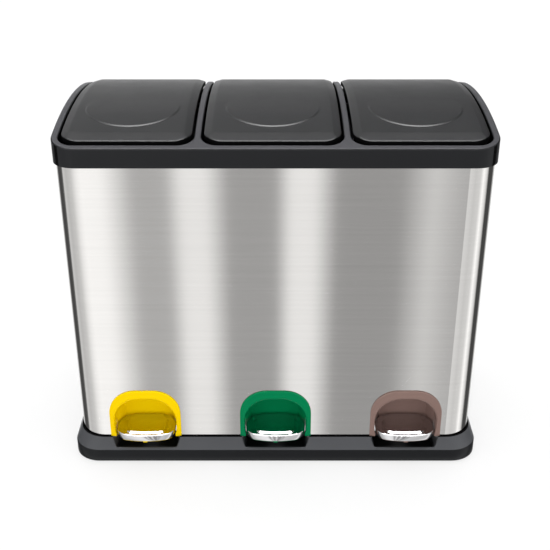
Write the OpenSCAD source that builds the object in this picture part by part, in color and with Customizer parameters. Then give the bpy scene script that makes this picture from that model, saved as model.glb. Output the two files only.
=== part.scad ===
// Recycling station with three pedal bins in one brushed steel cabinet.
// Each bin has a foot pedal, a lever, a push rod, a hinged lid and a
// lift-out bucket. Millimetres, +Z up, front towards -Y, +X to the right.

/* [Cabinet] */
// Width of the steel cabinet
body_w = 596; // [584:1:612]
// Depth of the steel cabinet
body_d = 316; // [314:1:324]
// Corner radius of the steel cabinet
body_r = 40; // [38:1:42]
// Thickness of the steel sheet
sheet_t = 0.8; // [0.6:0.1:1]
// Height of the top frame's front edge above the floor
edge_z = 502; // [498:1:510]
// Height of the top frame's skirt
skirt_h = 27; // [25:1:30]

/* [Top] */
// Radius of the arched top, front to back
arch_r = 650; // [600:10:700]
// Corner radius of the top frame
frame_r = 34; // [32:1:36]
// Width of the frame's rails at the two ends
rail_w = 10; // [9:0.5:11]
// Width of the frame's bars between the lids
bar_w = 9.5; // [9.5:0.5:10.5]
// Centre line of the bar between the left and middle lids
left_bar = -103.6; // [-104.5:0.1:-98.2]
// Centre line of the bar between the middle and right lids
right_bar = 96.2; // [96:0.1:99]
// Radius of a lid's two front corners
lid_corner = 26; // [22:1:27]
// How far the lids stand above the frame
lid_proud = 5; // [4:0.5:6]
// Gap round each lid
lid_gap = 2.8; // [2:0.1:3.5]
// Wall thickness of a lid
lid_t = 2.5; // [2:0.1:3]

/* [Base] */
// How far the plinth stands out from the steel
plinth_out = 11; // [9:1:12]
// Height of the plinth's upright band above the feet
band_h = 20; // [16:1:20]
// Height of the plinth's top edge above the floor
plinth_z = 43; // [43:0.5:44]
// How far the rubber feet stand out below the plinth
foot_h = 2; // [1.5:0.5:3]

/* [Pedals] */
// Distance between the pedals' centre lines
pitch = 196.5; // [196:0.1:197]
// Half the outer width of a pedal surround
surround_hw = 53.5; // [53:0.5:56]
// Height of a pedal surround's top above the floor
surround_z = 122.8; // [120:0.2:126]
// Height of a pedal's rim above the floor
pedal_z = 55; // [55:0.5:58]
// How far the raised middle of a pedal stands above its rim
pedal_rise = 2.6; // [2:0.1:3]
// Widest half width of a pedal
pedal_hw = 44.5; // [42:0.5:44.5]
// How far a pedal reaches in front of the steel
pedal_out = 19; // [17:0.5:21]

/* [Lever and rod] */
// Tilt of a lever at rest, rear end down
lever_tilt = 4; // [4:0.1:4.2]
// Radius of the push rod wire
rod_r = 2; // [1.8:0.1:2]
// Distance of the push rod in front of the lid's hinge axis
crank = 17; // [17:0.5:18]

/* [Hidden] */
$fn = 64;

hd = body_d / 2;                       // half depth of the steel
hw = body_w / 2;                       // half width of the steel
frame_w = body_w + 4;
frame_d = body_d + 4;
bins = [-pitch, 0, pitch];             // centre lines of the three bins
bars = [left_bar, right_bar];
open_x0 = [rail_w - frame_w / 2, bars[0] + bar_w / 2, bars[1] + bar_w / 2];
open_x1 = [bars[0] - bar_w / 2, bars[1] - bar_w / 2, frame_w / 2 - rail_w];
function mid(i) = (open_x0[i] + open_x1[i]) / 2;   // middle of a lid opening
function span(i) = open_x1[i] - open_x0[i];        // its width
arch_z = edge_z - sqrt(arch_r * arch_r - frame_d * frame_d / 4);
skirt_z = edge_z - skirt_h;
web_t = 3;                             // arched skin of the frame
open_y0 = -hd + 8;                     // front of a lid opening
open_y1 = hd - 34;                     // back of a bucket opening
ledge_y = -hd + 15;                    // inner edge of the front ledge
ledge_z = edge_z - 7;
hinge_y = hd - 7;                      // lid hinge axis
hinge_z = edge_z - 2;
barrel_r = 7.5;
hinge_pin_r = 2;
ear_x = 75;                            // hinge ears, from a bin's centre line
ear_t = 6;
ear_r = 6;
tray_z = hinge_z - 9;                  // floor of the hinge trays
lid_y0 = open_y0 + 2;
lid_r = arch_r + lid_proud;
rod_y = hinge_y - crank;
rod_x = 7;                             // push rod beside the lever's tab
rod_top = hinge_z - crank * tan(40);
pivot_z = 30.5;
lever_r = 205;                         // pivot to the rod's lower end
pivot_y = rod_y - lever_r * cos(lever_tilt);
rod_low = pivot_z - lever_r * sin(lever_tilt);
pivot_pin_r = 3;
deck_z = 51;                           // floor that the buckets stand on
shelf_z = plinth_z - 3;                // ledge that the steel stands on
well_z = 17;                           // floor of the wells under the pedals
band_z = foot_h + band_h;
pedal_y = -hd - pedal_out;             // front edge of a pedal
tub_y = -hd + 39.5;                    // back of the toe recess
y_off = (pedal_out - plinth_out) / 2;  // centres the box on the origin

lever_front = -80;
screw_at = [lever_front + 8, lever_front + 19];
feet = [for (x = [-240, 0, 240], y = [-hd + 5, hd - 5]) [x, y]];
screw_xy = [[-pitch / 2, -hd + 12], [pitch / 2, -hd + 12],
    [-pitch / 2, hd - 12], [pitch / 2, hd - 12], [-hw + 11, 0], [hw - 11, 0]];

// ---- shared shapes ------------------------------------------------------

// rectangle with true round corners
module rrect(w, d, r) {
    square([w - 2 * r, d], center = true);
    square([w, d - 2 * r], center = true);
    for (sx = [-1, 1], sy = [-1, 1])
        translate([sx * (w / 2 - r), sy * (d / 2 - r)]) circle(r = r);
}

module slab(z, h, w, d, r) {
    translate([0, 0, z]) linear_extrude(height = h) rrect(w, d, r);
}

// rounded slab between two depths, centred on x
module slab_y(x, z, h, w, y0, y1, r) {
    translate([x, (y0 + y1) / 2, z]) linear_extrude(height = h) rrect(w, y1 - y0, r);
}

// round-fronted opening that runs straight out at the back
module front_round(w, y0, y1, r) {
    translate([-w / 2, y0 + r]) square([w, y1 - y0 - r]);
    translate([-w / 2 + r, y0]) square([w - 2 * r, y1 - y0]);
    for (s = [-1, 1]) translate([s * (w / 2 - r), y0 + r]) circle(r = r);
}

// everything under the arched top of radius r
module under_arch(r) {
    translate([0, 0, arch_z]) rotate([0, 90, 0])
        cylinder(r = r, h = body_w + 40, center = true, $fn = 360);
}

// door shape with a round-cornered top, in the XZ plane
module arch2d(h, top, r, low) {
    translate([-h, low]) square([2 * h, top - r - low]);
    translate([-h + r, low]) square([2 * h - 2 * r, top - low]);
    for (s = [-1, 1]) translate([s * (h - r), top - r]) intersection() {
        circle(r = r);
        translate([-r - 1, 0]) square([2 * r + 2, r + 1]);
    }
}

// extrudes an XZ shape from y0 back to y1
module along_y(x, y0, y1) {
    translate([x, y1, 0]) rotate([90, 0, 0]) linear_extrude(height = y1 - y0) children();
}

// extrudes a YZ shape by t across X
module along_x(x, t) {
    translate([x - t / 2, 0, 0]) rotate([90, 0, 90]) linear_extrude(height = t) children();
}

module rod_along_x(x0, x1, y, z, r) {
    translate([x0, y, z]) rotate([0, 90, 0]) cylinder(r = r, h = x1 - x0);
}

function arc(cx, cy, r, a0, a1, n) =
    [for (i = [0:n]) [cx + r * cos(a0 + (a1 - a0) * i / n), cy + r * sin(a0 + (a1 - a0) * i / n)]];

// ---- base ---------------------------------------------------------------

// outline of the plinth, an upright band with a flare above it, inset by o
module skirt_form(o) {
    low = o > 0 ? foot_h - 1 : foot_h;
    high = o > 0 ? plinth_z + 0.6 : plinth_z;
    top = o > 0 ? 0.4 : 3;
    hull() {
        slab(low, band_z - low, body_w + 2 * (plinth_out - o), body_d + 2 * (plinth_out - o), 40 - o, $fn = 48);
        slab(high - 0.4, 0.4, body_w + top, body_d + top, body_r + top / 2, $fn = 48);
    }
}

module plinth() color([0.14, 0.14, 0.145]) translate([0, y_off, 0]) difference() {
    union() {
        difference() {
            skirt_form(0);
            skirt_form(3);
        }
        difference() {
            slab(shelf_z - 3, 3, body_w + 5, body_d + 5, body_r + 1);
            slab(shelf_z - 4, 5, body_w - 36, body_d - 36, 30);
        }
        // wells that the pedals sink into
        for (x = bins) {
            translate([x - 51, -hd - plinth_out + 2, well_z - 2.5]) cube([102, 55, 2.5]);
            for (s = [-1, 1]) translate([x + s * 49.75 - 1.25, -hd - plinth_out + 2, well_z - 2.5]) cube([2.5, 55, shelf_z - well_z + 2]);
        }
        for (f = feet) translate([f[0], f[1], foot_h]) cylinder(r = 14, h = 3);
    }
    for (f = feet) translate([f[0], f[1], 0]) cylinder(r = 4.05, h = 10);
    for (s = screw_xy) translate([s[0], s[1], shelf_z - 5]) cylinder(r = 2.3, h = 8);
    for (x = bins) {
        translate([x - 48.5, -hd - 20, band_z]) cube([97, 66, 40]);
        translate([x - 10, hd - 30, shelf_z - 6]) cube([24, 19, 10]);
    }
}

module floor_pan() color([0.17, 0.17, 0.175]) translate([0, y_off, 0]) difference() {
    union() {
        difference() {
            slab(shelf_z, 22, body_w - 2.2, body_d - 2.2, body_r - 1.1);
            slab(shelf_z - 1, 24, body_w - 7.2, body_d - 7.2, body_r - 3.6);
        }
        slab(deck_z - 3, 3, body_w - 4, body_d - 4, body_r - 2);
        for (s = screw_xy) translate([s[0], s[1], shelf_z]) cylinder(r = 5, h = 9);
        for (x = [-pitch / 2, pitch / 2]) translate([x - 1.5, -hd + 30, deck_z - 1]) cube([3, body_d - 70, 10]);
        for (x = bins, s = [-1, 1]) {
            translate([x + s * 16.5 - 2, pivot_y - 9, pivot_z]) cube([4, 18, deck_z - pivot_z - 1]);
            rod_along_x(x + s * 16.5 - 2, x + s * 16.5 + 2, pivot_y, pivot_z, 9);
        }
    }
    for (x = bins) {
        translate([x - 50, -hd - 1, shelf_z - 1]) cube([100, 45, 40]);
        translate([x - 8, 104, deck_z - 5]) cube([22, 42, 8]);
        rod_along_x(x - 25, x + 25, pivot_y, pivot_z, pivot_pin_r + 0.03);
    }
    for (s = screw_xy) translate([s[0], s[1], shelf_z - 1]) cylinder(r = 2.05, h = 9);
}

module rubber_feet() color([0.06, 0.06, 0.06]) translate([0, y_off, 0])
    for (f = feet) translate([f[0], f[1], 0]) {
        cylinder(r = 11, h = foot_h);
        cylinder(r = 4, h = foot_h + 3.5);
        translate([0, 0, foot_h + 3.2]) cylinder(r = 4.8, h = 1.5);
    }

module base_screws() color([0.7, 0.7, 0.72]) translate([0, y_off, 0])
    for (s = screw_xy) translate([s[0], s[1], shelf_z - 5.4]) difference() {
        union() {
            cylinder(r = 4.2, h = 2.4);
            cylinder(r = 2, h = 12.5);
        }
        translate([-2.4, -0.5, -1]) cube([4.8, 1, 2]);
        translate([-0.5, -2.4, -1]) cube([1, 4.8, 2]);
    }

// ---- cabinet ------------------------------------------------------------

module steel_body() color([0.74, 0.73, 0.71]) translate([0, y_off, 0]) union() {
    difference() {
        slab(shelf_z, tray_z - 1 - shelf_z, body_w, body_d, body_r);
        slab(shelf_z - 1, edge_z, body_w - 2 * sheet_t, body_d - 2 * sheet_t, body_r - sheet_t);
        for (x = bins) along_y(x, -hd - 5, -hd + 8) arch2d(51.5, surround_z - 2, 38, shelf_z - 5);
    }
    translate([pitch / 2 - 5, hd - 2 * sheet_t, shelf_z + 23]) cube([10, sheet_t * 1.2, skirt_z - shelf_z - 23]);
}

module top_frame() color([0.19, 0.19, 0.195]) translate([0, y_off, 0]) difference() {
    union() {
        frame_shell();
        for (x = bins, s = [-1, 1]) {
            translate([x + s * (ear_x + ear_t / 2) - ear_t / 2, hinge_y - ear_r, tray_z - 1]) cube([ear_t, 2 * ear_r, hinge_z - tray_z + 1]);
            rod_along_x(x + s * (ear_x + ear_t / 2) - ear_t / 2, x + s * (ear_x + ear_t / 2) + ear_t / 2, hinge_y, hinge_z, ear_r);
        }
    }
    for (x = bins) rod_along_x(x - ear_x - ear_t - 1, x + ear_x + ear_t + 1, hinge_y, hinge_z, hinge_pin_r + 0.03);
}

// top frame without its hinge ears
module frame_shell() difference() {
    union() {
        difference() {
            intersection() {
                slab(skirt_z, 80, frame_w, frame_d, frame_r);
                under_arch(arch_r);
            }
            intersection() {
                slab(skirt_z - 1, 90, body_w + 0.4, body_d + 0.4, body_r);
                under_arch(arch_r - web_t);
            }
        }
        intersection() {
            difference() {
                slab(skirt_z + 6, 70, body_w - 2, body_d - 2, body_r - 1);
                slab(skirt_z + 5, 72, body_w - 6, body_d - 6, body_r - 3);
            }
            under_arch(arch_r - 1);
        }
        intersection() {
            for (i = [0:2]) slab_y(mid(i), skirt_z + 3, 70, span(i) + 4, open_y0 - 2, open_y1 + 2, 24);
            under_arch(arch_r - 1);
        }
        // hinge trays, and the lip over the steel's top edge
        intersection() {
            for (i = [0:2]) translate([open_x0[i] - 1, open_y1, tray_z - 2]) cube([span(i) + 2, 40, 2]);
            slab(tray_z - 3, 4, body_w - 2.2, body_d - 2.2, body_r - 1.1);
        }
        difference() {
            slab(tray_z - 0.7, 0.7, frame_w - 1, frame_d - 1, frame_r);
            slab(tray_z - 1, 2, body_w - 6, body_d - 6, body_r - 3);
        }
        intersection() {
            for (b = bars) translate([b - bar_w / 2 - 0.5, hd - 22, tray_z - 6]) cube([bar_w + 1, 21, 60]);
            under_arch(arch_r - 1);
        }
    }
    for (i = [0:2]) {
        translate([mid(i), 0, ledge_z]) linear_extrude(height = 60) front_round(span(i), open_y0, hd + 20, 22);
        translate([open_x0[i], open_y1, tray_z]) cube([span(i), 60, 40]);
        slab_y(mid(i), skirt_z - 1, 40, span(i), ledge_y, open_y1, 20);
        translate([bins[i] - 8, open_y1 - 5, tray_z - 10]) cube([20, hd - 6 - open_y1 + 5, 30]);
    }
}

// ---- lids ---------------------------------------------------------------

// arched block of a lid w wide, inset by o, from radius r0 upwards
module lid_block(w, r0, o) {
    k = w / 2 - o;
    intersection() {
        translate([0, 0, arch_z]) rotate([0, 90, 0]) rotate_extrude($fn = 360)
            polygon([[r0, -k], [lid_r - 4 - o, -k], [lid_r - o, -k + 9], [lid_r - o, k - 9], [lid_r - 4 - o, k], [r0, k]]);
        translate([0, 0, edge_z - 40]) linear_extrude(height = 90) front_round(2 * k, lid_y0 + o, hinge_y + 1 - 3.2 * o, lid_corner - o);
        // broad bevel across the front
        along_x(0, w + 10) translate([0, -o * 1.06]) polygon([[lid_y0 - 20, edge_z - 60], [lid_y0 - 20, edge_z - 2.2], [lid_y0, edge_z + 5],
            [lid_y0 + 21, edge_z + 12.57], [lid_y0 + 70, edge_z + 40], [hinge_y + 40, edge_z + 40], [hinge_y + 40, edge_z - 60]]);
    }
}

module lid(i) color([0.2, 0.2, 0.205]) translate([bins[i], y_off, 0]) difference() {
    union() {
        translate([mid(i) - bins[i], 0, 0]) difference() {
            lid_block(span(i) - 2 * lid_gap, arch_r - 6, 0);
            lid_block(span(i) - 2 * lid_gap, arch_r - 20, lid_t);
        }
        rod_along_x(-ear_x + 0.4, ear_x - 0.4, hinge_y, hinge_z, barrel_r);
        // crank that the push rod works in, and its web
        along_x(0, 5) {
            translate([hinge_y, hinge_z]) rotate(220) translate([0, -6.6]) square([23, 13.2]);
            translate([hinge_y, hinge_z]) rotate(220) translate([22.6, 0]) circle(r = 6.7);
            polygon([[hinge_y - 24, hinge_z + 13], [hinge_y - 2, hinge_z + 8.4], [hinge_y - 2, hinge_z],
                [hinge_y - 17, hinge_z - 10], [hinge_y - 24, hinge_z - 6]]);
        }
    }
    rod_along_x(-ear_x, ear_x, hinge_y, hinge_z, hinge_pin_r + 0.08);
    // pockets for the hinge ears
    for (s = [-1, 1]) {
        rod_along_x(s * (ear_x + ear_t / 2) - ear_t / 2 - 0.4, s * (ear_x + ear_t / 2) + ear_t / 2 + 0.4, hinge_y, hinge_z, ear_r + 0.7);
        translate([s * (ear_x + ear_t / 2) - ear_t / 2 - 0.4, hinge_y - ear_r - 0.7, hinge_z - 20]) cube([ear_t + 0.8, 30, 20]);
    }
    along_x(0, 8) translate([hinge_y, hinge_z]) rotate(220) {
        translate([16.4, -3.3]) square([6.4, 6.6]);
        for (c = [16.4, 22.8]) translate([c, 0]) circle(r = 3.3);
    }
}

module lid_bumpers() color([0.1, 0.1, 0.1]) translate([0, y_off, 0])
    for (x = bins, s = [-1, 1]) translate([x + s * 62, lid_y0 + 1.4, ledge_z]) cylinder(r = 2.4, h = 3.2);

module lid_hinge_pin(x) color([0.75, 0.75, 0.76]) translate([0, y_off, 0])
    rod_along_x(x - ear_x - ear_t + 0.5, x + ear_x + ear_t - 0.5, hinge_y, hinge_z, hinge_pin_r);

// ---- lever, rod and pedal -----------------------------------------------

module push_rod(x) color([0.72, 0.72, 0.73]) translate([x, y_off, 0]) {
    translate([rod_x, rod_y, rod_low]) cylinder(r = rod_r, h = rod_top - rod_low);
    for (z = [rod_low, rod_top]) {
        rod_along_x(-5, rod_x, rod_y, z, rod_r);
        translate([rod_x, rod_y, z]) sphere(r = rod_r + 0.6);
    }
}

module rod_guide(x) color([0.16, 0.16, 0.165]) translate([x, y_off, 0])
    difference() {
        translate([rod_x, 0, deck_z]) linear_extrude(height = skirt_z - 5 - deck_z) difference() {
            translate([-10, rod_y - 6]) square([20, hd - 1.2 - rod_y + 6]);
            translate([-8, rod_y - 4]) square([16, hd]);
        }
        translate([rod_x - 11, hd - 3.8, deck_z - 1]) cube([22, 5, shelf_z + 22.3 - deck_z + 1]);
    }

module on_lever(x) {
    translate([x, pivot_y + y_off, pivot_z]) rotate([-lever_tilt, 0, 0]) children();
}

module lever(x) color([0.62, 0.62, 0.63]) on_lever(x) difference() {
    union() {
        translate([-10, lever_front, -2]) cube([20, 188 - lever_front, 4]);
        rotate([0, 90, 0]) cylinder(r = 6, h = 27, center = true);
        translate([-2, 168, -5]) cube([4, 42.5, 10]);
    }
    rotate([0, 90, 0]) cylinder(r = pivot_pin_r + 0.05, h = 40, center = true);
    translate([0, lever_r, 0]) rotate([0, 90, 0]) cylinder(r = 3, h = 10, center = true);
    for (y = screw_at) translate([0, y, -3]) cylinder(r = 2.2, h = 6);
}

module pivot_pin(x) color([0.75, 0.75, 0.76]) translate([0, y_off, 0])
    rod_along_x(x - 20.5, x + 20.5, pivot_y, pivot_z, pivot_pin_r);

module pivot_clips() color([0.5, 0.5, 0.52]) translate([0, y_off, 0])
    for (x = bins, s = [-1, 1]) difference() {
        rod_along_x(x + s * 19.2 - 0.5, x + s * 19.2 + 0.5, pivot_y, pivot_z, 5.5);
        rod_along_x(x + s * 19.2 - 1, x + s * 19.2 + 1, pivot_y, pivot_z, pivot_pin_r + 0.03);
        translate([x + s * 19.2 - 1, pivot_y - 1.6, pivot_z - 8]) cube([2, 3.2, 8]);
    }

// outline of a pedal, inset by o
function pedal_side(o) = concat(
    [[34.5 - 1.1 * o, -hd + 37 - o], [pedal_hw - 0.7 - o, -hd + 19 - 0.4 * o], [pedal_hw - o, -hd + 12]],
    arc(pedal_hw - 20, pedal_y + 23, 20 - o, 0, -74, 9),
    [for (x = [22:-5.5:1]) [x - o * 0.2, pedal_y + o + 120 - sqrt(14400 - x * x)]]);
module pedal2d(o) polygon(concat(pedal_side(o), [[0, pedal_y + o]],
    [for (i = [len(pedal_side(o)) - 1:-1:0]) [-pedal_side(o)[i][0], pedal_side(o)[i][1]]]));

// outline of a pedal's raised middle, inset by o
function pad_side(o) = concat(
    [[26 - o, -hd + 37 - (o > 0 ? 1.2 : 0)], [29.5 - o, -hd + 29], [33 - o, -hd + 18], [33.6 - o, -hd + 8]],
    arc(17.6, pedal_y + 5 + 16, 16 - o, 0, -80, 9));
module pad2d(o) polygon(concat(pad_side(o), [[0, pedal_y + 4.4 + o]],
    [for (i = [len(pad_side(o)) - 1:-1:0]) [-pad_side(o)[i][0], pad_side(o)[i][1]]]));

module pedal_plate(x) color([0.82, 0.82, 0.83]) translate([x, y_off, 0]) difference() {
    union() {
        translate([0, 0, pedal_z - 10]) linear_extrude(height = 10) pedal2d(0);
        translate([0, 0, pedal_z - 1]) linear_extrude(height = 1 + pedal_rise) pad2d(1.5);
    }
    translate([0, 0, pedal_z - 11]) linear_extrude(height = 9.8) pedal2d(1.2);
    translate([0, 0, pedal_z - 2]) linear_extrude(height = 0.8 + pedal_rise) pad2d(2.9);
}

module pedal_core(x, c) color(c) difference() {
    union() {
        translate([x, y_off, 0]) {
            translate([0, 0, pedal_z - 7.5]) linear_extrude(height = 3.1) pedal2d(1.6);
            translate([0, 0, pedal_z - 11.5]) linear_extrude(height = 5) difference() {
                pedal2d(1.6);
                pedal2d(5);
            }
            translate([-3, pedal_y + 1.4, pedal_z - 13]) cube([6, 4.6, 4]);
        }
        on_lever(x) translate([-12, lever_front, 2]) cube([24, 26.4, 13]);
    }
    on_lever(x) for (y = screw_at) translate([0, y, 0]) cylinder(r = 2.03, h = 11);
}

module pedal_screws(x) color([0.7, 0.7, 0.72]) on_lever(x)
    for (y = screw_at) translate([0, y, -5]) difference() {
        union() {
            cylinder(r = 4, h = 3);
            cylinder(r = 2, h = 15);
        }
        translate([-2.4, -0.5, -1]) cube([4.8, 1, 2.2]);
        translate([-0.5, -2.4, -1]) cube([1, 4.8, 2.2]);
    }

// plan of the toe recess, grown by o
module tub_plan(o) polygon([[-46 - o, -hd - 30], [-46 - o, -hd + 20], [-36 - o * 0.8, tub_y + o],
    [36 + o * 0.8, tub_y + o], [46 + o, -hd + 20], [46 + o, -hd - 30]]);

module pedal_surround(x, c) color(c) translate([x, y_off, 0]) difference() {
    union() {
        along_y(0, -hd - 4, -hd - 0.2) arch2d(surround_hw, surround_z, 40, plinth_z + 0.4);
        intersection() {
            along_y(0, -hd - 1, tub_y + 2) arch2d(48.2, surround_z - 12.1, 42, plinth_z + 0.4);
            translate([0, 0, plinth_z - 5]) linear_extrude(height = 90) tub_plan(2);
        }
        // snap tabs behind the sheet
        for (s = [-1, 1]) translate([s * 50.4 - 3.4, -hd + 1.1, 66]) cube([6.8, 2.4, 18]);
    }
    intersection() {
        along_y(0, -hd - 5, tub_y) arch2d(46, surround_z - 14.3, 40, plinth_z - 3);
        translate([0, 0, plinth_z - 6]) linear_extrude(height = 92) tub_plan(0);
    }
}

// ---- buckets ------------------------------------------------------------

module bucket_form(w, o, z0) hull() {
    slab_y(0, z0, 0.1, 160 - 2 * o, -hd + 52 + o, hd - 46 - o, 13 - o, $fn = 32);
    slab_y(0, edge_z - 26 + o, 0.1, w - 15 - 2 * o, -hd + 22 + o, hd - 41 - o, 16 - o, $fn = 32);
}

module inner_bucket(i) color([0.12, 0.12, 0.125]) translate([mid(i), y_off, 0]) difference() {
    union() {
        bucket_form(span(i), 0, deck_z);
        slab_y(0, edge_z - 26, 4, span(i) - 6, -hd + 17, hd - 38, 20);
    }
    bucket_form(span(i), 2.2, deck_z + 2.5);
    slab_y(0, edge_z - 27, 8, span(i) - 19.4, -hd + 24.2, hd - 43.2, 13.8);
    for (y = [-hd + 27, hd - 43]) along_y(0, y - 12, y + 8) {
        translate([-30, edge_z - 60]) square([60, 20]);
        for (s = [-1, 1]) translate([s * 30, edge_z - 50]) circle(r = 10);
    }
}

plinth();
floor_pan();
rubber_feet();
base_screws();
steel_body();
top_frame();
lid_bumpers();
pivot_clips();
lid(0);  // lid_left
lid(1);  // lid_centre
lid(2);  // lid_right
lid_hinge_pin(bins[0]);  // lid_hinge_pin_left
lid_hinge_pin(bins[1]);  // lid_hinge_pin_centre
lid_hinge_pin(bins[2]);  // lid_hinge_pin_right
push_rod(bins[0]);  // push_rod_left
push_rod(bins[1]);  // push_rod_centre
push_rod(bins[2]);  // push_rod_right
rod_guide(bins[0]);  // rod_guide_left
rod_guide(bins[1]);  // rod_guide_centre
rod_guide(bins[2]);  // rod_guide_right
lever(bins[0]);  // lever_left
lever(bins[1]);  // lever_centre
lever(bins[2]);  // lever_right
pivot_pin(bins[0]);  // pivot_pin_left
pivot_pin(bins[1]);  // pivot_pin_centre
pivot_pin(bins[2]);  // pivot_pin_right
pedal_surround(bins[0], [0.95, 0.78, 0.03]);  // pedal_surround_left
pedal_surround(bins[1], [0.0, 0.5, 0.3]);  // pedal_surround_centre
pedal_surround(bins[2], [0.46, 0.37, 0.34]);  // pedal_surround_right
pedal_plate(bins[0]);  // pedal_plate_left
pedal_plate(bins[1]);  // pedal_plate_centre
pedal_plate(bins[2]);  // pedal_plate_right
pedal_core(bins[0], [0.95, 0.78, 0.03]);  // pedal_core_left
pedal_core(bins[1], [0.0, 0.5, 0.3]);  // pedal_core_centre
pedal_core(bins[2], [0.46, 0.37, 0.34]);  // pedal_core_right
pedal_screws(bins[0]);  // pedal_screws_left
pedal_screws(bins[1]);  // pedal_screws_centre
pedal_screws(bins[2]);  // pedal_screws_right
inner_bucket(0);  // inner_bucket_left
inner_bucket(1);  // inner_bucket_centre
inner_bucket(2);  // inner_bucket_right
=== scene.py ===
import math

import bmesh
import bpy
import numpy as np
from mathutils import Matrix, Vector
from mathutils.geometry import delaunay_2d_cdt


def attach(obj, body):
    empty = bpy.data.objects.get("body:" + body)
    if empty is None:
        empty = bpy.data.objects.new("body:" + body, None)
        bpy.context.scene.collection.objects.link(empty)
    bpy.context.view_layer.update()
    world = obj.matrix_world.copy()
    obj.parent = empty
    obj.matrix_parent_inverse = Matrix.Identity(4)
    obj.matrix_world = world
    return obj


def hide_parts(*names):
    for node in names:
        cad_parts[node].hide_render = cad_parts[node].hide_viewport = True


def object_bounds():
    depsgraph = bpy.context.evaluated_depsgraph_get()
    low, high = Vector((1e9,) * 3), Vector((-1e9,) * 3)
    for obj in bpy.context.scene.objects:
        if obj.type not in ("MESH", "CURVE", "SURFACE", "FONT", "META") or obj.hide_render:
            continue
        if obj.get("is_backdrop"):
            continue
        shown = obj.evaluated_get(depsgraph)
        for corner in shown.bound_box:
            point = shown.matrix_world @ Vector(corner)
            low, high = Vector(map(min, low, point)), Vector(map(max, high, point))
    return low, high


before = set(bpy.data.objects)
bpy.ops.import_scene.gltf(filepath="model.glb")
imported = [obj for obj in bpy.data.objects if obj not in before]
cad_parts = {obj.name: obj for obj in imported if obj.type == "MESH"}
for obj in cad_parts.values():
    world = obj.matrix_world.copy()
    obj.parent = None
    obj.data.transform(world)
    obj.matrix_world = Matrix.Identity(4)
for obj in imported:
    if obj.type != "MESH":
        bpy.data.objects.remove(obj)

cad_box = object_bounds()

# ---------------------------------------------------------------- sizes (mm)
YO = 4.0                      # the cabinet's middle is 4 mm behind the origin
HD, HW = 158.0, 298.0         # half depth and half width of the steel
PITCH = 196.5
SIDES = (("left", -PITCH), ("centre", 0.0), ("right", PITCH))
BARS = (-103.6, 96.2)         # centre lines of the two bars between the lids
OPEN = {"left": (-290.0, BARS[0] - 4.75), "centre": (BARS[0] + 4.75, BARS[1] - 4.75), "right": (BARS[1] + 4.75, 290.0)}
ARCH_R = 650.0
ARCH_Z = 502.0 - math.sqrt(ARCH_R ** 2 - 160.0 ** 2)
HINGE_Y, HINGE_Z = 151.0, 500.0


def arch(y, r=ARCH_R):
    return ARCH_Z + np.sqrt(r * r - np.asarray(y, float) ** 2)


# ---------------------------------------------------------------- mesh tools
def make(name, verts, faces, smooth=True, offset=(0.0, 0.0, 0.0)):
    """A mesh object from millimetre points in the cabinet's own axes."""
    v = (np.asarray(verts, float) + np.array(offset) + np.array((0.0, YO, 0.0))) * 0.001
    me = bpy.data.meshes.new(name)
    me.from_pydata([tuple(p) for p in v], [], [tuple(int(i) for i in f) for f in faces])
    me.validate()
    me.update()
    if smooth:
        me.polygons.foreach_set("use_smooth", [True] * len(me.polygons))
    ob = bpy.data.objects.new(name, me)
    bpy.context.scene.collection.objects.link(ob)
    return ob


def outline_normals(p):
    """Inward unit normals of a counter-clockwise outline, stretched at sharp corners."""
    a = p - np.roll(p, 1, 0)
    b = np.roll(p, -1, 0) - p
    a /= np.linalg.norm(a, axis=1)[:, None]
    b /= np.linalg.norm(b, axis=1)[:, None]
    n = np.stack([-(a[:, 1] + b[:, 1]), a[:, 0] + b[:, 0]], 1)
    ln = np.linalg.norm(n, axis=1)
    n /= ln[:, None]
    return n / np.clip(ln / 2, 0.6, 1.0)[:, None]


def inside(pts, poly):
    x, y = pts[:, 0][:, None], pts[:, 1][:, None]
    x0, y0 = poly[:, 0][None], poly[:, 1][None]
    x1, y1 = np.roll(poly[:, 0], -1)[None], np.roll(poly[:, 1], -1)[None]
    cross = (y0 > y) != (y1 > y)
    with np.errstate(divide="ignore", invalid="ignore"):
        xi = (x1 - x0) * (y - y0) / (y1 - y0) + x0
    return (np.count_nonzero(cross & (x < xi), axis=1) % 2) == 1


def edge_distance(pts, poly):
    a = poly
    d = np.roll(poly, -1, 0) - poly
    out = np.full(len(pts), 1e9)
    dd = (d ** 2).sum(1)
    for s in range(0, len(pts), 2000):
        q = pts[s:s + 2000]
        w = q[:, None, :] - a[None]
        t = np.clip((w * d[None]).sum(2) / dd[None], 0, 1)
        r = w - t[..., None] * d[None]
        out[s:s + 2000] = np.sqrt((r ** 2).sum(2)).min(1)
    return out


def fill(poly, pts, margin):
    """Triangulates the outline with the inner points that lie clear of it."""
    keep = inside(pts, poly)
    pts = pts[keep]
    pts = pts[edge_distance(pts, poly) > margin]
    n = len(poly)
    co = [Vector(p) for p in poly] + [Vector(p) for p in pts]
    r = delaunay_2d_cdt(co, [(i, (i + 1) % n) for i in range(n)], [], 0, 1e-7)
    v = np.array([tuple(p) for p in r[0]])
    tri = np.array([f for f in r[2] if len(f) == 3])
    c = v[tri].mean(1)
    tri = tri[inside(c, poly)]
    a, b, c = v[tri[:, 0]], v[tri[:, 1]], v[tri[:, 2]]
    area = (b[:, 0] - a[:, 0]) * (c[:, 1] - a[:, 1]) - (b[:, 1] - a[:, 1]) * (c[:, 0] - a[:, 0])
    tri = tri[np.abs(area) > 1e-6]
    area = area[np.abs(area) > 1e-6]
    tri[area < 0] = tri[area < 0][:, ::-1]
    # index of each outline point in the result
    where = {}
    for k, origins in enumerate(r[3]):
        for o in origins:
            where[o] = k
    ring = [where[i] for i in range(n)]
    return v, tri, ring


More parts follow.
